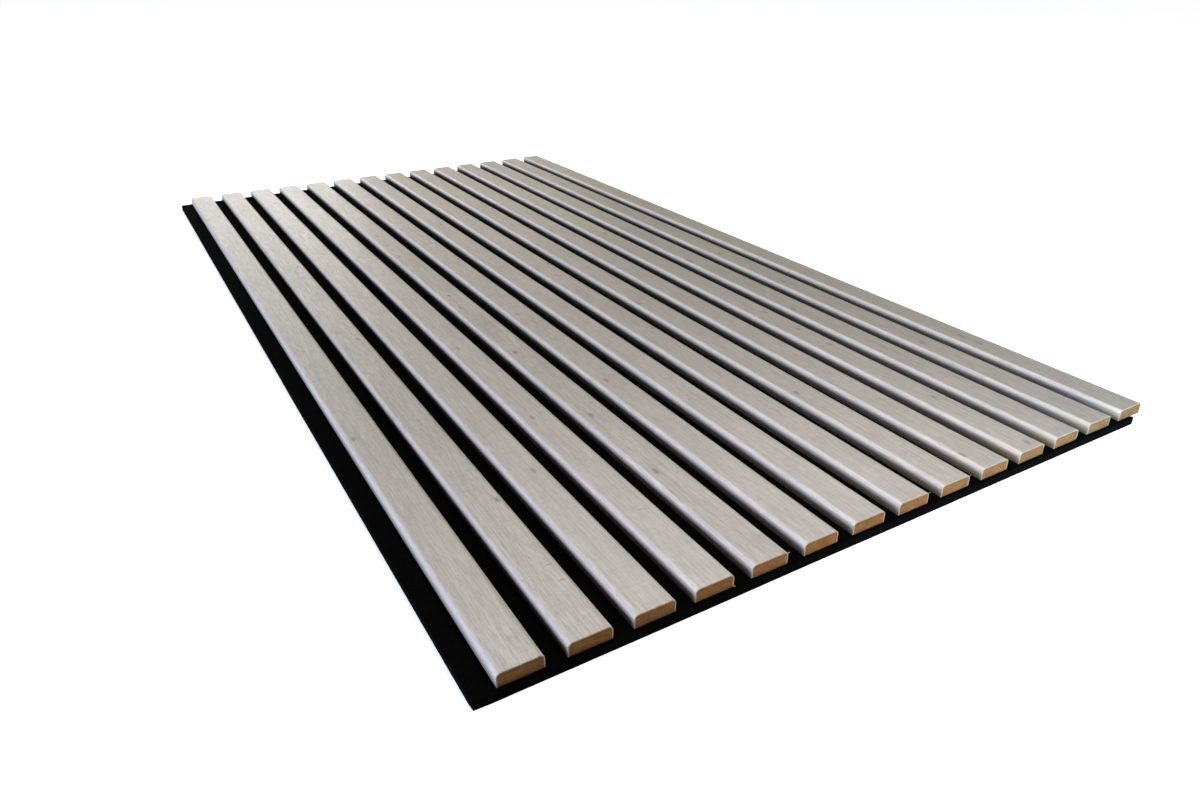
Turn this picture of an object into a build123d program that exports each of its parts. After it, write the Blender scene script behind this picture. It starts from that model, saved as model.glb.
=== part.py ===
"""Slatted acoustic wall panel, lying on its felt back.

X runs across the slats, from the bare felt lip to the overhanging last slat. Y runs along the slats.
Z points out of the wall. The origin is at the middle of the panel's outline, on the felt's back.
All sizes are in millimetres.
"""

import os
from math import ceil

from build123d import *

# Slats: a fibreboard core in a thin decor wrap
slat_count = 14
slat_width = 27.0
slat_gap = 13.0
slat_height = 9.0
slat_length = 1030.0
shoulder_radius = 3.0
wrap_thickness = 0.8

# Felt sheet that carries the slats
felt_thickness = 6.0
felt_lip = 14.5
felt_end = 3.0
slat_overhang = 11.0

# Staples, shot through the felt into the slats' cores
staple_crown = 10.0
staple_wire_width = 1.2
staple_wire_thickness = 0.6
staple_tip_cover = 3.5
staple_end_margin = 40.0
staple_spacing_limit = 240.0

# Places across the panel
slat_pitch = slat_width + slat_gap
panel_width = felt_lip + slat_count * slat_pitch - slat_gap
first_slat_x = -panel_width / 2 + felt_lip + slat_width / 2
slat_xs = [first_slat_x + index * slat_pitch for index in range(slat_count)]

# Felt outline: a lip beside the first slat, and set back under the last one
felt_width = panel_width - slat_overhang
felt_length = slat_length + 2 * felt_end
felt_x = -panel_width / 2 + felt_width / 2

# Core: what the wrap leaves of a slat, flat on its underside
core_width = slat_width - 2 * wrap_thickness
core_height = slat_height - wrap_thickness
core_radius = shoulder_radius - wrap_thickness

# Staple lines: down the middle of each slat's seat on the felt
seat_xs = slat_xs[:-1] + [slat_xs[-1] - slat_overhang / 2]
staple_leg = felt_thickness + core_height - staple_tip_cover
staple_run = slat_length - 2 * staple_end_margin
staple_count = 1 + ceil(staple_run / staple_spacing_limit)
staple_spacing = staple_run / (staple_count - 1)


def slat_section(width, height, radius):
    """Cross-section of a slat or its core, with the two upper corners rounded."""
    with BuildSketch() as section:
        Rectangle(width, height, align=(Align.CENTER, Align.MIN))
        fillet(section.vertices().group_by(Axis.Y)[-1], radius)
    return section.sketch


def finish(piece, name):
    """Label a finished piece and write its file."""
    piece.label = name
    export_step(piece, f"parts/{name}.step")


os.makedirs("parts", exist_ok=True)
outer_section = slat_section(slat_width, slat_height, shoulder_radius)
core_section = slat_section(core_width, core_height, core_radius)
far_end = Plane.XZ.offset(-slat_length / 2)

# Staples: crowns along the slats, pulled flush into the felt's back
with BuildPart() as staples:
    for seat_x in seat_xs:
        with BuildSketch(Plane.YZ.offset(seat_x - staple_wire_width / 2)):
            with GridLocations(staple_spacing, 0, staple_count, 1):
                Rectangle(staple_crown, staple_leg, align=(Align.CENTER, Align.MIN))
                with Locations((0, staple_wire_thickness)):
                    Rectangle(
                        staple_crown - 2 * staple_wire_thickness,
                        staple_leg,
                        align=(Align.CENTER, Align.MIN),
                        mode=Mode.SUBTRACT,
                    )
    extrude(amount=staple_wire_width)
finish(staples.part, "staples")
staple_rows = staples.solids().group_by(Axis.X)

# Felt backing: one cut sheet, slit where the staples pass
with BuildPart() as felt_backing:
    with BuildSketch():
        with Locations((felt_x, 0)):
            Rectangle(felt_width, felt_length)
    extrude(amount=felt_thickness)
    add(staples.part, mode=Mode.SUBTRACT)
finish(felt_backing.part, "felt_backing")

# Slats: each core is slit by its own staples, and its wrap closes over the sides and top
for number, (slat_x, staple_row) in enumerate(zip(slat_xs, staple_rows), start=1):
    with BuildPart() as slat_core:
        with BuildSketch(far_end):
            with Locations((slat_x, felt_thickness)):
                add(core_section)
        extrude(amount=slat_length)
        add(staple_row, mode=Mode.SUBTRACT)
    finish(slat_core.part, f"slat_core_{number:02d}")

    with BuildPart() as slat_wrap:
        with BuildSketch(far_end):
            with Locations((slat_x, felt_thickness)):
                add(outer_section)
                add(core_section, mode=Mode.SUBTRACT)
        extrude(amount=slat_length)
    finish(slat_wrap.part, f"slat_wrap_{number:02d}")
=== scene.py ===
"""Slatted acoustic panel on a pale studio floor: decor-wrapped slats, black felt sheet and staples."""

import math
import random

import bmesh
import bpy
from mathutils import Euler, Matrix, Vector, noise


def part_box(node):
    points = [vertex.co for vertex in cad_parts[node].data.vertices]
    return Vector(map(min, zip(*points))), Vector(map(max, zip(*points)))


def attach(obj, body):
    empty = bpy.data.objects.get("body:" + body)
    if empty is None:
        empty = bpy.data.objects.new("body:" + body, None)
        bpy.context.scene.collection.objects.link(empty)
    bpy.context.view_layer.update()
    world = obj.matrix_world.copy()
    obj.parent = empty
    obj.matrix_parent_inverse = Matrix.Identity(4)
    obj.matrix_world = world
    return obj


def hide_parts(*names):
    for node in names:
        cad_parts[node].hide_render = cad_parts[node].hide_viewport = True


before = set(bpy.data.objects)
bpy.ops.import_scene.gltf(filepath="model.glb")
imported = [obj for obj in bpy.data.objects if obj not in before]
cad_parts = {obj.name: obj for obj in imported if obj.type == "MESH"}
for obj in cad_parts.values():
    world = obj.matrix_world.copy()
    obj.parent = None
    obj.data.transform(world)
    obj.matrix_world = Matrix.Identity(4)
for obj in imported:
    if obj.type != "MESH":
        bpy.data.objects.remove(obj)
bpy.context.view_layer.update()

# Units
mm = 0.001

# Sizes read from the frame
slat_count = sum(name.startswith("slat_wrap_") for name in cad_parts)
wrap_low, wrap_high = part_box("slat_wrap_01")
second_wrap_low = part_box("slat_wrap_02")[0]
core_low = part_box("slat_core_01")[0]
felt_low, felt_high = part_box("felt_backing")
staple_low, staple_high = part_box("staples")
slat_width = wrap_high.x - wrap_low.x
slat_height = wrap_high.z - wrap_low.z
slat_length = wrap_high.y - wrap_low.y
slat_pitch = second_wrap_low.x - wrap_low.x
slat_gap = slat_pitch - slat_width
slat_base = wrap_low.z
first_slat_x = (wrap_low.x + wrap_high.x) / 2
slat_xs = [first_slat_x + index * slat_pitch for index in range(slat_count)]
wrap_thickness = core_low.x - wrap_low.x
felt_width = felt_high.x - felt_low.x
felt_length = felt_high.y - felt_low.y
felt_thickness = felt_high.z - felt_low.z

# Sizes that the boxes can't tell
shoulder_radius = 3.0 * mm
staples_per_slat = 5
staple_crown = 10.0 * mm
staple_wire_width = 1.2 * mm

# Staple places
seat_xs = slat_xs[:-1] + [staple_high.x - staple_wire_width / 2]
first_staple_y = staple_low.y + staple_crown / 2
staple_spacing = (staple_high.y - staple_low.y - staple_crown) / (staples_per_slat - 1)
staple_ys = [first_staple_y + index * staple_spacing for index in range(staples_per_slat)]


# Node helpers

def add_node(tree, kind, **settings):
    """Place one node in a tree, with its settings."""
    node = tree.nodes.new(kind)
    for name, value in settings.items():
        setattr(node, name, value)
    return node


def feed(tree, socket, source):
    """Link a source into a socket, or set the socket to a plain value."""
    if isinstance(source, bpy.types.NodeSocket):
        tree.links.new(source, socket)
    else:
        socket.default_value = source


def math_node(tree, operation, first, second=None, third=None):
    """One Math node on sockets or numbers."""
    node = add_node(tree, "ShaderNodeMath", operation=operation)
    for socket, source in zip(node.inputs, (first, second, third)):
        if source is not None:
            feed(tree, socket, source)
    return node.outputs[0]


def ease(tree, value, start, end, low=0.0, high=1.0):
    """Smooth step of a value from one range to another."""
    node = add_node(tree, "ShaderNodeMapRange", interpolation_type="SMOOTHSTEP")
    feed(tree, node.inputs["Value"], value)
    feed(tree, node.inputs["From Min"], start)
    feed(tree, node.inputs["From Max"], end)
    feed(tree, node.inputs["To Min"], low)
    feed(tree, node.inputs["To Max"], high)
    return node.outputs["Result"]


def stretch(tree, vector, scale, shift=(0.0, 0.0, 0.0)):
    """A vector scaled and then shifted."""
    node = add_node(tree, "ShaderNodeVectorMath", operation="MULTIPLY_ADD")
    feed(tree, node.inputs[0], vector)
    feed(tree, node.inputs[1], scale)
    feed(tree, node.inputs[2], shift)
    return node.outputs["Vector"]


def noise_value(tree, vector, detail=2.0, roughness=0.5, distortion=0.0):
    """Noise at a vector that is already scaled."""
    node = add_node(tree, "ShaderNodeTexNoise", noise_dimensions="3D")
    feed(tree, node.inputs["Vector"], vector)
    node.inputs["Scale"].default_value = 1.0
    node.inputs["Detail"].default_value = detail
    node.inputs["Roughness"].default_value = roughness
    node.inputs["Distortion"].default_value = distortion
    return node.outputs["Fac"]


def tint(tree, factor, first, second):
    """Two colours mixed by a factor."""
    node = add_node(tree, "ShaderNodeMix", data_type="RGBA")
    feed(tree, node.inputs["Factor"], factor)
    feed(tree, node.inputs["A"], first)
    feed(tree, node.inputs["B"], second)
    return node.outputs["Result"]


def overlay(tree, mask, share, under, colour):
    """A colour laid over another through a share of a mask."""
    return tint(tree, math_node(tree, "MULTIPLY", mask, share), under, colour)


def place_group(tree, group, **values):
    """Place a node group in a tree and feed its named inputs."""
    node = add_node(tree, "ShaderNodeGroup", node_tree=group)
    for name, source in values.items():
        feed(tree, node.inputs[name.replace("_", " ").capitalize()], source)
    return node.outputs


def new_group(name, inputs, outputs):
    """An empty node group with named sockets, and its input and output nodes."""
    group = bpy.data.node_groups.new(name, "ShaderNodeTree")
    for socket_name, kind, value in inputs:
        socket = group.interface.new_socket(socket_name, in_out="INPUT", socket_type=kind)
        if value is not None:
            socket.default_value = value
    for socket_name, kind in outputs:
        group.interface.new_socket(socket_name, in_out="OUTPUT", socket_type=kind)
    entry = add_node(group, "NodeGroupInput")
    leave = add_node(group, "NodeGroupOutput")
    return group, entry.outputs, leave.inputs


# Node groups that several finishes share

slat_shift = (0.6, 7.0, 0.4)
fleck_ripples = 9.0
fleck_raggedness = 0.09
fleck_core = 0.15


def make_slat_places():
    """Places on each slat: a vector that differs from slat to slat, and how far across the slat it is."""
    group, _, leave = new_group(
        "slat_places",
        [],
        [
            ("Place", "NodeSocketVector"),
            ("Across", "NodeSocketFloat"),
            ("Slat shade", "NodeSocketFloat"),
        ],
    )
    coordinates = add_node(group, "ShaderNodeTexCoord").outputs["Object"]
    split = add_node(group, "ShaderNodeSeparateXYZ")
    feed(group, split.inputs[0], coordinates)
    row_start = 0.5 - first_slat_x / slat_pitch
    row = math_node(group, "MULTIPLY_ADD", split.outputs["X"], 1 / slat_pitch, row_start)
    slat_number = math_node(group, "FLOOR", row)
    across = math_node(group, "SUBTRACT", math_node(group, "FRACT", row), 0.5)
    chance = add_node(group, "ShaderNodeTexWhiteNoise", noise_dimensions="1D")
    feed(group, chance.inputs["W"], slat_number)
    place = stretch(group, chance.outputs["Color"], slat_shift, coordinates)
    feed(group, leave["Place"], place)
    feed(group, leave["Across"], math_node(group, "MULTIPLY", across, slat_pitch))
    feed(group, leave["Slat shade"], chance.outputs["Value"])
    return group


def make_streaks():
    """Fine lines drawn out along one direction."""
    group, entry, leave = new_group(
        "streaks",
        [
            ("Place", "NodeSocketVector", None),
            ("Lines per metre", "NodeSocketVector", None),
            ("Contrast low", "NodeSocketFloat", 0.35),
            ("Contrast high", "NodeSocketFloat", 0.65),
        ],
        [("Streaks", "NodeSocketFloat")],
    )
    lines = noise_value(group, stretch(group, entry["Place"], entry["Lines per metre"]), 3.0, 0.55, 0.15)
    feed(group, leave["Streaks"], ease(group, lines, entry["Contrast low"], entry["Contrast high"]))
    return group


def make_mottle():
    """Soft cloudy patches."""
    group, entry, leave = new_group(
        "mottle",
        [("Place", "NodeSocketVector", None), ("Patches per metre", "NodeSocketVector", None)],
        [("Mottle", "NodeSocketFloat")],
    )
    clouds = noise_value(group, stretch(group, entry["Place"], entry["Patches per metre"]), 2.0, 0.6, 0.4)
    feed(group, leave["Mottle"], ease(group, clouds, 0.28, 0.72))
    return group


def make_flecks(name, dimensions):
    """Scattered marks: one in each cell, of which only the rare ones are kept."""
    group, entry, leave = new_group(
        name,
        [
            ("Place", "NodeSocketVector", None),
            ("Cells per metre", "NodeSocketVector", None),
            ("Reach", "NodeSocketFloat", 0.15),
            ("Rarity", "NodeSocketFloat", 0.8),
        ],
        [("Flecks", "NodeSocketFloat")],
    )
    scaled = stretch(group, entry["Place"], entry["Cells per metre"])
    ragged = add_node(group, "ShaderNodeTexNoise", noise_dimensions="3D")
    feed(group, ragged.inputs["Vector"], scaled)
    ragged.inputs["Scale"].default_value = fleck_ripples
    ragged.inputs["Detail"].default_value = 2.0
    bent = stretch(group, ragged.outputs["Color"], (fleck_raggedness,) * 3, scaled)
    cells = add_node(group, "ShaderNodeTexVoronoi", voronoi_dimensions=dimensions, feature="F1")
    feed(group, cells.inputs["Vector"], bent)
    cells.inputs["Scale"].default_value = 1.0
    chances = add_node(group, "ShaderNodeSeparateColor")
    feed(group, chances.inputs[0], cells.outputs["Color"])
    kept = math_node(group, "GREATER_THAN", chances.outputs["Red"], entry["Rarity"])
    core = math_node(group, "MULTIPLY", entry["Reach"], fleck_core)
    spot = ease(group, cells.outputs["Distance"], entry["Reach"], core)
    feed(group, leave["Flecks"], math_node(group, "MULTIPLY", spot, kept))
    return group


slat_places = make_slat_places()
streaks = make_streaks()
mottle = make_mottle()
flecks = make_flecks("flecks", "3D")
surface_flecks = make_flecks("surface_flecks", "2D")


# Finishes

rubbed_width = 0.4 * shoulder_radius
# Painted shade on the slats' side walls: how high up it starts and how dark it gets at the foot
foot_shade_height = 0.68 * slat_height
painted_foot_shade = 0.76
upper_skin_start = 3.2 * mm
upper_skin_end = 0.8 * mm
lower_skin_height = 1.8 * mm


def new_finish(name):
    """A material with its node tree and its shader."""
    material = bpy.data.materials.new(name)
    material.use_nodes = True
    return material, material.node_tree, material.node_tree.nodes["Principled BSDF"]


def add_relief(tree, shader, height, depth, strength=1.0):
    """Fine relief on a shader's surface."""
    bump = add_node(tree, "ShaderNodeBump")
    bump.inputs["Strength"].default_value = strength
    bump.inputs["Distance"].default_value = depth
    feed(tree, bump.inputs["Height"], height)
    feed(tree, shader.inputs["Normal"], bump.outputs["Normal"])


def make_decor_face():
    """Greige wood-grain decor film: broken grain, tinted patches, small knots, worn shoulders, and painted
    shade that darkens the lower side walls and dims their reflection.
    """
    material, tree, shader = new_finish("decor_face")
    places = place_group(tree, slat_places)
    place = places["Place"]
    moved = stretch(tree, place, (1.0, 1.0, 1.0), (3.7, 1.9, 2.3))
    fine_grain = place_group(tree, streaks, place=place, lines_per_metre=(1000.0, 60.0, 1000.0),
                             contrast_low=0.40, contrast_high=0.62)["Streaks"]
    mid_grain = place_group(tree, streaks, place=moved, lines_per_metre=(600.0, 14.0, 600.0),
                            contrast_low=0.52, contrast_high=0.62)["Streaks"]
    cross_marks = place_group(tree, streaks, place=place, lines_per_metre=(60.0, 420.0, 60.0),
                              contrast_low=0.48, contrast_high=0.70)["Streaks"]
    broad_grain = place_group(tree, streaks, place=place, lines_per_metre=(230.0, 11.0, 230.0),
                              contrast_low=0.32, contrast_high=0.68)["Streaks"]
    pores = place_group(tree, streaks, place=moved, lines_per_metre=(1500.0, 150.0, 1500.0),
                        contrast_low=0.52, contrast_high=0.68)["Streaks"]
    pink_patches = place_group(tree, mottle, place=place, patches_per_metre=(45.0, 22.0, 45.0))["Mottle"]
    green_patches = place_group(tree, mottle, place=moved, patches_per_metre=(60.0, 26.0, 60.0))["Mottle"]
    clouds = place_group(tree, mottle, place=moved, patches_per_metre=(120.0, 75.0, 120.0))["Mottle"]
    knots = place_group(tree, surface_flecks, place=place, cells_per_metre=(44.0, 22.0, 1.0),
                        reach=0.12, rarity=0.82)["Flecks"]
    cracks = place_group(tree, surface_flecks, place=place, cells_per_metre=(52.0, 250.0, 1.0),
                         reach=0.18, rarity=0.988)["Flecks"]

    ground = tint(tree, pink_patches, (0.474, 0.438, 0.401, 1), (0.551, 0.494, 0.464, 1))
    greened = overlay(tree, green_patches, 0.50, ground, (0.496, 0.477, 0.428, 1))
    clouded = overlay(tree, clouds, 0.30, greened, (0.388, 0.356, 0.330, 1))
    banded = overlay(tree, broad_grain, 0.24, clouded, (0.372, 0.340, 0.312, 1))
    scored = math_node(tree, "MULTIPLY", cross_marks, green_patches)
    crossed = overlay(tree, scored, 0.34, banded, (0.330, 0.300, 0.274, 1))
    lined = overlay(tree, mid_grain, 0.50, crossed, (0.330, 0.299, 0.274, 1))
    grained = overlay(tree, fine_grain, 0.46, lined, (0.312, 0.282, 0.258, 1))
    pored = overlay(tree, pores, 0.52, grained, (0.270, 0.238, 0.214, 1))
    knotted = overlay(tree, knots, 0.80, pored, (0.205, 0.174, 0.152, 1))
    marked = overlay(tree, cracks, 0.72, knotted, (0.170, 0.140, 0.120, 1))
    shaded = overlay(tree, places["Slat shade"], 0.18, marked, (0.530, 0.490, 0.464, 1))
    off_middle = math_node(tree, "ABSOLUTE", places["Across"])
    rubbed = ease(tree, off_middle, slat_width / 2 - shoulder_radius, slat_width / 2 - rubbed_width)
    worn = math_node(tree, "MULTIPLY", rubbed, clouds)
    edged = overlay(tree, worn, 0.30, shaded, (0.440, 0.402, 0.360, 1))
    # Painted shade: the colour darkens towards the foot of each slat, standing in for the shade in the gaps
    # between the slats
    height = add_node(tree, "ShaderNodeSeparateXYZ")
    feed(tree, height.inputs[0], add_node(tree, "ShaderNodeTexCoord").outputs["Object"])
    painted_foot_shadow = ease(tree, height.outputs["Z"], slat_base + foot_shade_height, slat_base, 0.0, painted_foot_shade)
    feed(tree, shader.inputs["Base Color"], tint(tree, painted_foot_shadow, edged, (0.042, 0.040, 0.042, 1)))

    dull = math_node(tree, "MULTIPLY_ADD", fine_grain, 0.12, 0.38)
    feed(tree, shader.inputs["Roughness"], math_node(tree, "MULTIPLY_ADD", pores, 0.12, dull))
    # The painted shade also turns the reflection down towards the slats' feet
    feed(tree, shader.inputs["Specular IOR Level"], math_node(tree, "MULTIPLY_ADD", painted_foot_shadow, -0.55, 0.5))
    lows = math_node(tree, "MULTIPLY_ADD", pores, -0.9, math_node(tree, "MULTIPLY", fine_grain, -0.45))
    ripple = math_node(tree, "MULTIPLY_ADD", broad_grain, 0.5, lows)
    add_relief(tree, shader, ripple, 0.035 * mm, 0.7)
    return material


def make_decor_cut():
    """Pale cut edge of the decor wrap, where the saw went through it."""
    material, tree, shader = new_finish("decor_cut")
    place = place_group(tree, slat_places)["Place"]
    layers = place_group(tree, streaks, place=place, lines_per_metre=(1400.0, 1400.0, 5200.0))["Streaks"]
    fuzz = place_group(tree, mottle, place=place, patches_per_metre=(420.0, 420.0, 420.0))["Mottle"]
    paper = tint(tree, layers, (0.230, 0.172, 0.106, 1), (0.318, 0.256, 0.178, 1))
    stained = overlay(tree, fuzz, 0.40, paper, (0.190, 0.118, 0.054, 1))
    feed(tree, shader.inputs["Base Color"], stained)
    feed(tree, shader.inputs["Roughness"], math_node(tree, "MULTIPLY_ADD", fuzz, 0.2, 0.65))
    add_relief(tree, shader, layers, 0.05 * mm, 0.5)
    return material


def make_sawn_fibreboard():
    """Golden brown sawn fibreboard: pressed layers, darker dense skins, fibre specks and saw lines."""
    material, tree, shader = new_finish("sawn_fibreboard")
    place = place_group(tree, slat_places)["Place"]
    layers = place_group(tree, streaks, place=place, lines_per_metre=(170.0, 170.0, 1500.0),
                         contrast_low=0.36, contrast_high=0.62)["Streaks"]
    fibres = place_group(tree, streaks, place=place, lines_per_metre=(900.0, 900.0, 3800.0),
                         contrast_low=0.45, contrast_high=0.75)["Streaks"]
    patches = place_group(tree, mottle, place=place, patches_per_metre=(160.0, 160.0, 300.0))["Mottle"]
    specks = place_group(tree, flecks, place=place, cells_per_metre=(700.0, 700.0, 1500.0),
                         reach=0.35, rarity=0.8)["Flecks"]
    split = add_node(tree, "ShaderNodeSeparateXYZ")
    feed(tree, split.inputs[0], add_node(tree, "ShaderNodeTexCoord").outputs["Object"])
    slat_top = slat_base + slat_height
    upper_skin = ease(tree, split.outputs["Z"], slat_top - upper_skin_start, slat_top - upper_skin_end)
    lower_skin = ease(tree, split.outputs["Z"], slat_base + lower_skin_height, slat_base)
    skins = math_node(tree, "MAXIMUM", upper_skin, lower_skin)

    ground = tint(tree, patches, (0.123, 0.046, 0.007, 1), (0.188, 0.079, 0.015, 1))
    layered = overlay(tree, layers, 0.60, ground, (0.064, 0.020, 0.005, 1))
    fibred = overlay(tree, fibres, 0.55, layered, (0.298, 0.152, 0.040, 1))
    specked = overlay(tree, specks, 0.55, fibred, (0.041, 0.016, 0.005, 1))
    skinned = overlay(tree, skins, 0.40, specked, (0.076, 0.027, 0.007, 1))
    feed(tree, shader.inputs["Base Color"], skinned)
    feed(tree, shader.inputs["Roughness"], math_node(tree, "MULTIPLY_ADD", fibres, -0.12, 0.86))
    shader.inputs["Specular IOR Level"].default_value = 0.30
    rise = math_node(tree, "MULTIPLY_ADD", fibres, 0.7, math_node(tree, "MULTIPLY", layers, -0.4))
    add_relief(tree, shader, rise, 0.12 * mm, 0.8)
    return material


def make_black_felt():
    """Black pressed felt: matted fibres with a dull bloom and a little lint."""
    material, tree, shader = new_finish("black_felt")
    place = add_node(tree, "ShaderNodeTexCoord").outputs["Object"]
    mat_lines = place_group(tree, streaks, place=place, lines_per_metre=(1300.0, 500.0, 1300.0))["Streaks"]
    cross_lines = place_group(tree, streaks, place=place, lines_per_metre=(450.0, 1500.0, 1300.0))["Streaks"]
    patches = place_group(tree, mottle, place=place, patches_per_metre=(90.0, 90.0, 90.0))["Mottle"]
    lint = place_group(tree, flecks, place=place, cells_per_metre=(420.0, 110.0, 300.0),
                       reach=0.12, rarity=0.93)["Flecks"]
    matted = math_node(tree, "MULTIPLY", mat_lines, cross_lines)
    ground = tint(tree, patches, (0.0007, 0.0007, 0.0006, 1), (0.0014, 0.0014, 0.0013, 1))
    fibred = overlay(tree, matted, 0.6, ground, (0.0034, 0.0034, 0.0032, 1))
    linted = overlay(tree, lint, 0.5, fibred, (0.016, 0.016, 0.015, 1))
    feed(tree, shader.inputs["Base Color"], linted)
    feed(tree, shader.inputs["Roughness"], math_node(tree, "MULTIPLY_ADD", matted, -0.1, 0.98))
    shader.inputs["Specular IOR Level"].default_value = 0.01
    shader.inputs["Sheen Weight"].default_value = 0.002
    shader.inputs["Sheen Roughness"].default_value = 0.6
    heap = math_node(tree, "MULTIPLY_ADD", matted, 1.0, math_node(tree, "MULTIPLY", patches, 0.6))
    add_relief(tree, shader, heap, 0.35 * mm, 0.9)
    return material


def make_staple_steel():
    """Zinc-dull staple wire with drawn lines."""
    material, tree, shader = new_finish("staple_steel")
    place = add_node(tree, "ShaderNodeTexCoord").outputs["Object"]
    drawn = place_group(tree, streaks, place=place, lines_per_metre=(7000.0, 260.0, 7000.0))["Streaks"]
    dull = place_group(tree, mottle, place=place, patches_per_metre=(500.0, 500.0, 500.0))["Mottle"]
    bright = tint(tree, drawn, (0.560, 0.565, 0.570, 1), (0.680, 0.680, 0.670, 1))
    dulled = overlay(tree, dull, 0.5, bright, (0.40, 0.40, 0.41, 1))
    feed(tree, shader.inputs["Base Color"], dulled)
    shader.inputs["Metallic"].default_value = 1.0
    feed(tree, shader.inputs["Roughness"], math_node(tree, "MULTIPLY_ADD", dull, 0.22, 0.28))
    add_relief(tree, shader, drawn, 0.01 * mm, 0.5)
    return material


def make_studio_floor():
    """Plain pale studio floor that fades to white for the camera."""
    material, tree, shader = new_finish("studio_floor")
    place = add_node(tree, "ShaderNodeTexCoord").outputs["Object"]
    clouds = place_group(tree, mottle, place=place, patches_per_metre=(1.4, 1.4, 1.4))["Mottle"]
    paint = tint(tree, clouds, (0.880, 0.880, 0.880, 1), (0.900, 0.900, 0.900, 1))
    feed(tree, shader.inputs["Base Color"], paint)
    distance = add_node(tree, "ShaderNodeVectorMath", operation="LENGTH")
    feed(tree, distance.inputs[0], place)
    fade = ease(tree, distance.outputs["Value"], 0.45, 1.1, 0.62, 0.95)
    seen = add_node(tree, "ShaderNodeLightPath").outputs["Is Camera Ray"]
    feed(tree, shader.inputs["Emission Color"], math_node(tree, "MULTIPLY", fade, seen))
    shader.inputs["Emission Strength"].default_value = 1.0
    shader.inputs["Roughness"].default_value = 0.9
    shader.inputs["Specular IOR Level"].default_value = 0.1
    return material


decor_face = make_decor_face()
decor_cut = make_decor_cut()
sawn_fibreboard = make_sawn_fibreboard()
black_felt = make_black_felt()
staple_steel = make_staple_steel()
studio_floor = make_studio_floor()


# Mesh helpers

def add_piece(name, mesh_builder, materials):
    """Turn a filled bmesh into an object in the scene."""
    mesh = bpy.data.meshes.new(name)
    mesh_builder.to_mesh(mesh)
    mesh_builder.free()
    for material in materials:
        mesh.materials.append(material)
    piece = bpy.data.objects.new(name, mesh)
    bpy.context.scene.collection.objects.link(piece)
    return piece


def bridge_rows(builder, rows, closed=False, smooth=True, material_index=0):
    """Quads between neighbouring rows of vertices."""
    for lower, upper in zip(rows, rows[1:]):
        count = len(lower)
        for index in range(count if closed else count - 1):
            following = (index + 1) % count
            face = builder.faces.new((lower[index], lower[following], upper[following], upper[index]))
            face.smooth = smooth
            face.material_index = material_index


def even_steps(start, end, count):
    """Evenly spaced values, both ends included."""
    return [start + (end - start) * step / count for step in range(count + 1)]


# Decor wraps

side_steps = 3
shoulder_steps = 10
top_steps = 14
chip_chance = 0.05
chip_depth = 0.45 * mm
chip_least = 0.4
cut_wander = 0.07 * mm
wander_step = 0.35
wrap_seed = 700
wrap_sharp_angle = math.radians(35)
near_stations = [0.0, 0.25 * mm, 0.7 * mm, 1.6 * mm, 4.0 * mm, 10.0 * mm]
plain_stations = 36


def wrap_outline(inset):
    """Points over a slat, from its lower left to its lower right, set in by the given depth."""
    half = slat_width / 2 - inset
    top = slat_height - inset
    radius = shoulder_radius - inset
    centre_x = half - radius
    centre_z = top - radius
    left_side = [(-half, z) for z in even_steps(0.0, centre_z, side_steps)]
    left_shoulder = []
    for turn in even_steps(0.0, math.pi / 2, shoulder_steps)[1:]:
        left_shoulder.append((-centre_x - radius * math.cos(turn), centre_z + radius * math.sin(turn)))
    crown = [(x, top) for x in even_steps(-centre_x, centre_x, top_steps)[1:-1]]
    left_half = left_side + left_shoulder
    right_half = [(-x, z) for x, z in reversed(left_half)]
    return left_half + crown + right_half


def wrap_stations():
    """Places along a slat, close together near the sawn ends."""
    half = slat_length / 2
    last = near_stations[-1]
    near = [-half + step for step in near_stations]
    plain = even_steps(-half + last, half - last, plain_stations)[1:-1]
    far = [half - step for step in reversed(near_stations)]
    return near + plain + far


def cut_edge(chance, count):
    """How far each point of a sawn end is set back, with a few small chips."""
    wander_seed = chance.uniform(0, 100)
    setback = []
    for index in range(count):
        wander = cut_wander * (1 + noise.noise(Vector((index * wander_step, wander_seed, 0.0))))
        chip = 0.0
        if chance.random() < chip_chance:
            chip = chip_depth * chance.uniform(chip_least, 1.0)
        setback.append(wander + chip)
    return setback


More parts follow.
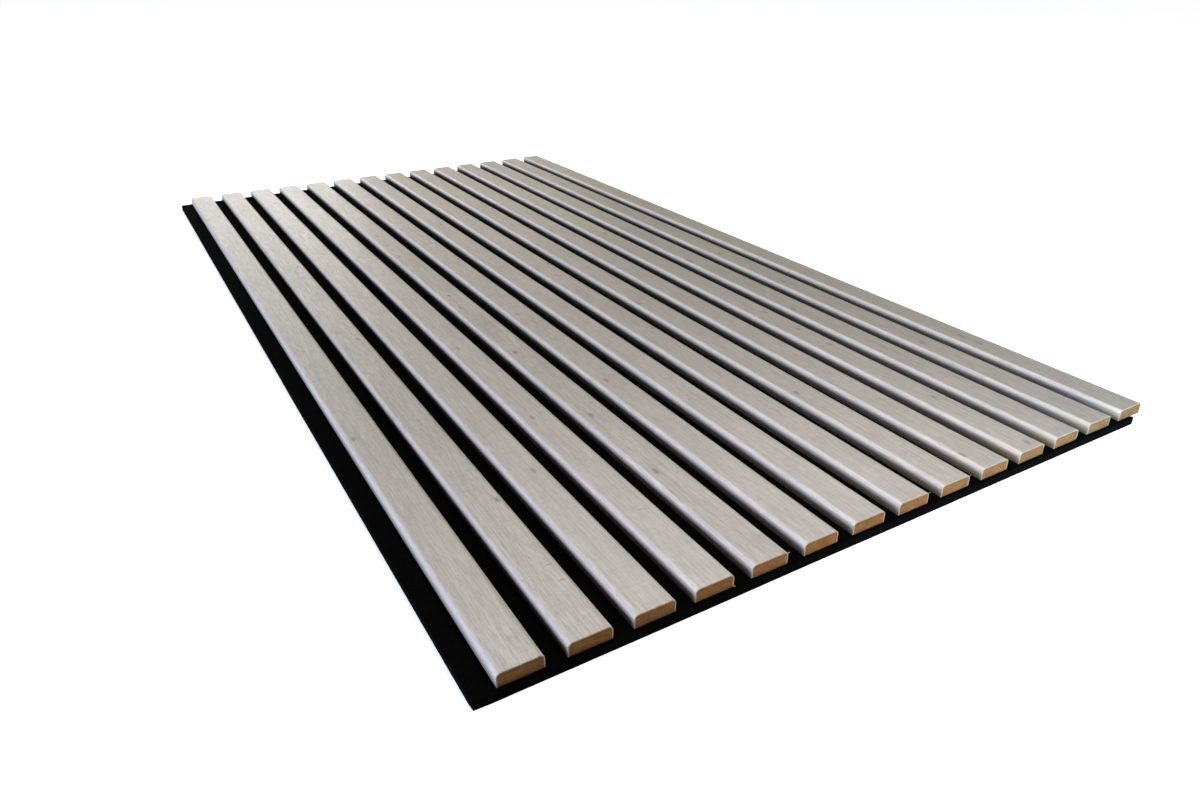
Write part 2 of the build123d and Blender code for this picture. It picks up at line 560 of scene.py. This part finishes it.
def build_wrap(number, slat_x):
    """One slat's decor wrap, from the outline over its sides and top."""
    chance = random.Random(wrap_seed + number)
    builder = bmesh.new()
    outer = wrap_outline(0.0)
    inner = wrap_outline(wrap_thickness)
    stations = wrap_stations()
    near_cut = cut_edge(chance, len(outer))
    far_cut = cut_edge(chance, len(outer))
    outer_rows = []
    inner_rows = []
    for index, y in enumerate(stations):
        outer_row = []
        inner_row = []
        for (outer_x, outer_z), (inner_x, inner_z), near, far in zip(outer, inner, near_cut, far_cut):
            shift = 0.0
            if index == 0:
                shift = near
            elif index == len(stations) - 1:
                shift = -far
            inner_shift = math.copysign(cut_wander, shift) if shift else 0.0
            outer_row.append(builder.verts.new((slat_x + outer_x, y + shift, slat_base + outer_z)))
            inner_row.append(builder.verts.new((slat_x + inner_x, y + inner_shift, slat_base + inner_z)))
        outer_rows.append(outer_row)
        inner_rows.append(inner_row)
    bridge_rows(builder, outer_rows)
    bridge_rows(builder, [list(reversed(row)) for row in inner_rows])
    near_end = [outer_rows[0], inner_rows[0]]
    far_end = [list(reversed(outer_rows[-1])), list(reversed(inner_rows[-1]))]
    bridge_rows(builder, [list(reversed(row)) for row in near_end], smooth=False, material_index=1)
    bridge_rows(builder, [list(reversed(row)) for row in far_end], smooth=False, material_index=1)
    left_foot = [[row[0] for row in inner_rows], [row[0] for row in outer_rows]]
    right_foot = [[row[-1] for row in outer_rows], [row[-1] for row in inner_rows]]
    bridge_rows(builder, left_foot, smooth=False, material_index=1)
    bridge_rows(builder, right_foot, smooth=False, material_index=1)
    bmesh.ops.recalc_face_normals(builder, faces=builder.faces)
    wrap = add_piece(f"decor_wrap_{number:02d}", builder, [decor_face, decor_cut])
    wrap.data.set_sharp_from_angle(angle=wrap_sharp_angle)
    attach(wrap, "root")
    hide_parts(f"slat_wrap_{number:02d}")


# Film burrs left by the saw

burr_thickness = 0.12 * mm
burr_steps = 4
burr_inset = 0.3 * mm
burr_forward = -0.35
burr_curl = 0.25
burr_half_width = 0.45
burr_tip = 0.05

# Burrs: slat number, side, share of the slat's height, reach, rise
burr_places = [
    (4, 1.0, 0.06, 1.5 * mm, -0.5),
    (5, 1.0, 0.88, 1.2 * mm, 0.5),
    (8, 1.0, 0.92, 1.0 * mm, 0.4),
    (9, 1.0, 0.90, 0.9 * mm, 0.5),
    (11, 1.0, 0.04, 1.7 * mm, -0.7),
    (13, 1.0, 0.90, 0.9 * mm, 0.3),
]


def add_burr(builder, number, side, share, reach, rise):
    """One torn sliver of film that stands off a slat's sawn corner."""
    root_x = slat_xs[number - 1] + side * (slat_width / 2 - burr_inset)
    root = Vector((root_x, wrap_low.y, slat_base + share * slat_height))
    along = Vector((side, burr_forward, rise)).normalized()
    across = Vector((0.0, 1.0, 0.0))
    thick = along.cross(across).normalized()
    rows = []
    for step in range(burr_steps + 1):
        share_out = step / burr_steps
        spine = root + along * reach * share_out + thick * burr_curl * reach * share_out ** 2
        half_width = reach * burr_half_width * (1 + burr_tip - share_out)
        half_thick = burr_thickness / 2
        row = []
        for wide, deep in ((-1, -1), (1, -1), (1, 1), (-1, 1)):
            row.append(builder.verts.new(spine + across * wide * half_width + thick * deep * half_thick))
        rows.append(row)
    bridge_rows(builder, rows, closed=True, smooth=False)
    builder.faces.new(list(reversed(rows[0])))
    builder.faces.new(rows[-1])


def build_burrs():
    """All the torn slivers of decor film at the near sawn ends."""
    builder = bmesh.new()
    for number, side, share, reach, rise in burr_places:
        add_burr(builder, number, side, share, reach, rise)
    bmesh.ops.recalc_face_normals(builder, faces=builder.faces)
    burrs = add_piece("film_burrs", builder, [decor_cut])
    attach(burrs, "root")


# Felt sheet

felt_crown = 0.125 * mm
felt_lumps = 0.09 * mm
lump_pitch = 90
fine_lump_pitch = 260
back_lump_pitch = 120
back_unevenness = 0.8
slow_wander_pitch = 9
quick_wander_pitch = 150
wall_lump_pitch = 220
edge_wander = 0.30 * mm
edge_bulge = 0.12 * mm
corner_wear = 0.4 * mm
back_lift = 0.12 * mm
dimple_depth = 0.45 * mm
dimple_reach = 7.0 * mm
felt_station = 6.0 * mm
felt_wall_steps = 5
felt_sharp_angle = math.radians(50)
seat_margin = 0.2 * mm
slat_edge_steps = [0.0, 1.0 * mm, 4.0 * mm]
seat_steps = [-8.0 * mm, -4.0 * mm, 0.0, 4.0 * mm, 8.0 * mm]


def felt_xs():
    """Places across the felt: slat edges, seats and gaps."""
    places = {felt_low.x, felt_high.x}
    half = slat_width / 2
    gap_middle = half + slat_gap / 2
    for slat_x, seat_x in zip(slat_xs, seat_xs):
        for step in slat_edge_steps:
            places.update((slat_x - (half + step), slat_x + (half + step)))
        places.add(slat_x + gap_middle)
        for step in seat_steps:
            places.add(seat_x + step)
    return sorted(x for x in places if felt_low.x <= x <= felt_high.x)


def under_slat(x):
    """True where a slat sits on the felt."""
    return any(abs(x - slat_x) <= slat_width / 2 + seat_margin for slat_x in slat_xs)


def felt_top(x, y):
    """Height of the felt's face: pressed flat under the slats, a little proud between them."""
    if under_slat(x) and abs(y) < slat_length / 2:
        return felt_high.z
    lump = noise.noise(Vector((x * lump_pitch, y * lump_pitch, 0.0)))
    lump += 0.5 * noise.noise(Vector((x * fine_lump_pitch, y * fine_lump_pitch, 4.0)))
    return felt_high.z + felt_crown + felt_lumps * lump


def felt_back(x, y):
    """Height of the felt's back: drawn in round each staple."""
    near_seats = [seat_x for seat_x in seat_xs if abs(x - seat_x) < slat_pitch]
    nearest = min(math.hypot(x - seat_x, y - staple_y) for seat_x in near_seats for staple_y in staple_ys)
    dimple = dimple_depth * math.exp(-((nearest / dimple_reach) ** 2))
    lump = noise.noise(Vector((x * back_lump_pitch, y * back_lump_pitch, 9.0)))
    return felt_low.z + back_lift * (1 + back_unevenness * lump) + dimple


def build_felt():
    """The felt sheet: a cut mat with a soft face, ragged edges and a stapled back."""
    builder = bmesh.new()
    xs = felt_xs()
    ys = even_steps(felt_low.y, felt_high.y, round(felt_length / felt_station))
    last_x = len(xs) - 1
    last_y = len(ys) - 1

    def edge_shift(x, y):
        """Wander of the cut edge at a place."""
        slow = noise.noise(Vector((x * slow_wander_pitch, y * slow_wander_pitch, 31.0)))
        quick = noise.noise(Vector((x * quick_wander_pitch, y * quick_wander_pitch, 17.0)))
        return edge_wander * (0.7 * slow + 0.3 * quick)

    def placed(column, line):
        """Outline place of a grid point, with the edges set in and wandering."""
        x = xs[column]
        y = ys[line]
        at_side = column in (0, last_x)
        at_end = line in (0, last_y)
        inset = edge_wander + edge_bulge + (corner_wear if at_side and at_end else 0.0)
        if at_side:
            x += (inset if column == 0 else -inset) + edge_shift(0.0, y)
        if at_end:
            y += (inset if line == 0 else -inset) + edge_shift(x, 0.0)
        return x, y

    outline = [[placed(column, line) for column in range(last_x + 1)] for line in range(last_y + 1)]
    face_rows = [[builder.verts.new((x, y, felt_top(x, y))) for x, y in row] for row in outline]
    back_rows = [[builder.verts.new((x, y, felt_back(x, y))) for x, y in row] for row in outline]
    bridge_rows(builder, face_rows)
    bridge_rows(builder, [list(reversed(row)) for row in back_rows])

    rim = [(0, line) for line in range(last_y)]
    rim += [(column, last_y) for column in range(last_x)]
    rim += [(last_x, line) for line in range(last_y, 0, -1)]
    rim += [(column, 0) for column in range(last_x, 0, -1)]
    wall = [[face_rows[line][column] for column, line in rim]]
    for step in range(1, felt_wall_steps):
        depth = step / felt_wall_steps
        ring = []
        for column, line in rim:
            upper = face_rows[line][column].co
            lower = back_rows[line][column].co
            point = upper.lerp(lower, depth)
            bulge = edge_bulge * math.sin(math.pi * depth) ** 0.5
            bulge += 0.4 * edge_bulge * noise.noise(point * wall_lump_pitch)
            if column in (0, last_x):
                point.x += -bulge if column == 0 else bulge
            if line in (0, last_y):
                point.y += -bulge if line == 0 else bulge
            ring.append(builder.verts.new(point))
        wall.append(ring)
    wall.append([back_rows[line][column] for column, line in rim])
    bridge_rows(builder, wall, closed=True)
    bmesh.ops.recalc_face_normals(builder, faces=builder.faces)
    felt = add_piece("felt_sheet", builder, [black_felt])
    felt.data.set_sharp_from_angle(angle=felt_sharp_angle)
    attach(felt, "root")
    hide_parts("felt_backing")
    return felt


# Loose fibres on the felt

fibre_seed = 41
edge_fibres = 2600
face_fibres = 1800
fibre_radius = 0.035 * mm
fibre_reach = 2.2 * mm
fibre_lift = 0.9 * mm
fibre_steps = 3
fibre_sides = 3
fibre_curl = 0.6
fibre_arc = 0.6
fibre_taper = 0.6
edge_lift = 0.3 * fibre_lift
lowest_root = 0.5 * mm
highest_root = felt_thickness - 0.3 * mm
length_spread = 0.49
gap_spread = 0.4


def add_fibre(builder, chance, root, heading, reach, lift):
    """One thin curled fibre from its root, as a three-sided strand."""
    along = heading.normalized()
    side = along.cross(Vector((0.0, 0.0, 1.0)))
    side = side.normalized() if side.length > 0.01 else Vector((1.0, 0.0, 0.0))
    curl = chance.uniform(-fibre_curl, fibre_curl)
    spine = []
    for step in range(fibre_steps + 1):
        share = step / fibre_steps
        point = root + along * reach * share + side * reach * curl * share ** 2
        point.z += lift * math.sin(math.pi * fibre_arc * share)
        spine.append(point)
    rows = []
    for step, point in enumerate(spine):
        radius = fibre_radius * (1 - fibre_taper * step / fibre_steps)
        corners = []
        for corner in range(fibre_sides):
            turn = 2 * math.pi * corner / fibre_sides
            upward = Vector((0, 0, radius * math.sin(turn)))
            corners.append(builder.verts.new(point + side * radius * math.cos(turn) + upward))
        rows.append(corners)
    bridge_rows(builder, rows, closed=True)
    builder.faces.new(list(reversed(rows[0])))
    builder.faces.new(rows[-1])


def build_fibres():
    """Loose fibres along the felt's cut edges and in the gaps between slats."""
    chance = random.Random(fibre_seed)
    builder = bmesh.new()
    middle_x = (felt_low.x + felt_high.x) / 2
    left = Vector((-1, 0, 0))
    right = Vector((1, 0, 0))
    near = Vector((0, -1, 0))
    far = Vector((0, 1, 0))
    sides = [
        (Vector((felt_low.x + edge_bulge, 0, 0)), far, felt_length, left),
        (Vector((felt_high.x - edge_bulge, 0, 0)), far, felt_length, right),
        (Vector((middle_x, felt_low.y + edge_bulge, 0)), right, felt_width, near),
        (Vector((middle_x, felt_high.y - edge_bulge, 0)), right, felt_width, far),
    ]
    edge_total = 2 * (felt_width + felt_length)
    for middle, along, length, outward in sides:
        for _ in range(round(edge_fibres * length / edge_total)):
            root = middle + along * length * chance.uniform(-length_spread, length_spread)
            root.z = chance.uniform(lowest_root, highest_root)
            heading = outward * chance.uniform(0.2, 0.7) + along * chance.uniform(-1.0, 1.0)
            reach = fibre_reach * chance.uniform(0.4, 0.8)
            lift = edge_lift * chance.uniform(-1.0, 1.0)
            add_fibre(builder, chance, root, heading, reach, lift)
    gap_xs = [slat_x + slat_pitch / 2 for slat_x in slat_xs[:-1]]
    gap_xs.append(felt_low.x + (wrap_low.x - felt_low.x) / 2)
    for _ in range(face_fibres):
        root_x = chance.choice(gap_xs) + slat_gap * chance.uniform(-gap_spread, gap_spread)
        root_y = felt_length * chance.uniform(-length_spread, length_spread)
        root = Vector((root_x, root_y, felt_high.z))
        heading = Vector((chance.uniform(-0.3, 0.3), chance.uniform(-1.0, 1.0), 0.0))
        reach = fibre_reach * chance.uniform(0.5, 1.0)
        lift = fibre_lift * chance.uniform(0.3, 1.0)
        add_fibre(builder, chance, root, heading, reach, lift)
    bmesh.ops.recalc_face_normals(builder, faces=builder.faces)
    fibres = add_piece("felt_fibres", builder, [black_felt])
    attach(fibres, "root")
    return fibres


# Build the pieces

for number, slat_x in enumerate(slat_xs, start=1):
    build_wrap(number, slat_x)
    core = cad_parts[f"slat_core_{number:02d}"]
    core.data.materials[0] = sawn_fibreboard
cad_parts["staples"].data.materials[0] = staple_steel
build_burrs()
felt_sheet = build_felt()
felt_fibres = build_fibres()


# Floor, lights and camera

floor_reach = 12.0
backdrop_white = 0.96
air_glow = 0.02
camera_place = (-0.3752, -0.7981, 0.3255)
camera_heading = math.radians(30.658)
camera_pitch = math.radians(28.082)
camera_lens = 25.40
camera_sensor = 36.0


def build_floor():
    """A wide pale floor under the panel."""
    builder = bmesh.new()
    corners = []
    for side_x, side_y in ((-1, -1), (1, -1), (1, 1), (-1, 1)):
        corners.append(builder.verts.new((side_x * floor_reach, side_y * floor_reach, 0.0)))
    builder.faces.new(corners)
    floor = add_piece("studio_floor", builder, [studio_floor])


def add_softbox(name, place, target, size, power, colour):
    """A soft rectangular lamp that faces a target."""
    lamp = bpy.data.lights.new(name, "AREA")
    lamp.shape = "RECTANGLE"
    lamp.size, lamp.size_y = size
    lamp.energy = power
    lamp.color = colour
    softbox = bpy.data.objects.new(name, lamp)
    softbox.location = place
    softbox.rotation_euler = (Vector(target) - Vector(place)).to_track_quat("-Z", "Y").to_euler()
    softbox.visible_camera = False
    bpy.context.scene.collection.objects.link(softbox)


def light_studio():
    """Low windows at the left and far side, a warm overhead box, a strip and two fills at the near end."""
    world = bpy.data.worlds.new("studio_air")
    world.use_nodes = True
    background = world.node_tree.nodes["Background"]
    seen = add_node(world.node_tree, "ShaderNodeLightPath").outputs["Is Camera Ray"]
    air = math_node(world.node_tree, "MULTIPLY_ADD", seen, backdrop_white, air_glow)
    feed(world.node_tree, background.inputs["Color"], air)
    background.inputs["Strength"].default_value = 1.0
    bpy.context.scene.world = world
    middle = (0.0, 0.0, 0.0)
    cool = (0.705, 0.789, 1.0)
    pale = (1.0, 0.985, 0.98)
    sandy = (1.0, 0.89, 0.815)
    warm = (1.0, 0.965, 0.78)
    bluish = (0.98, 0.95, 1.0)
    golden = (1.0, 0.783, 0.196)
    sky = (0.402, 0.685, 1.0)
    add_softbox("left_window", (-4.0, 0.0, 0.82), middle, (3.0, 1.15), 268.0, cool)
    add_softbox("far_window", (-0.02, 2.1, 0.43), middle, (0.8, 0.5), 7.1, pale)
    add_softbox("far_side", (0.75, 2.1, 0.43), middle, (0.9, 0.5), 2.25, sandy)
    add_softbox("overhead", (0.20, 0.35, 1.5), (0.20, 0.35, 0.0), (0.2, 1.4), 14.6, warm)
    add_softbox("near_strip", (-0.01, -0.54, 0.30), (-0.01, -0.53, 0.0), (0.5, 0.05), 0.74, bluish)
    add_softbox("near_fill", (0.05, -0.75, 0.022), (0.05, felt_low.y, 0.012), (0.22, 0.03), 0.586, golden)
    add_softbox("near_side", (0.24, -0.72, 0.022), (0.21, felt_low.y, 0.012), (0.22, 0.03), 1.876, sky)


def aim_camera():
    """The photograph's view: from the near left, looking down along the slats."""
    camera = bpy.data.cameras.new("camera")
    camera.sensor_width = camera_sensor
    camera.lens = camera_lens
    view = bpy.data.objects.new("camera", camera)
    view.location = camera_place
    view.rotation_euler = Euler((math.pi / 2 - camera_pitch, 0.0, -camera_heading))
    bpy.context.scene.collection.objects.link(view)
    bpy.context.scene.camera = view


build_floor()
light_studio()
aim_camera()
bpy.context.scene.view_settings.view_transform = "Standard"
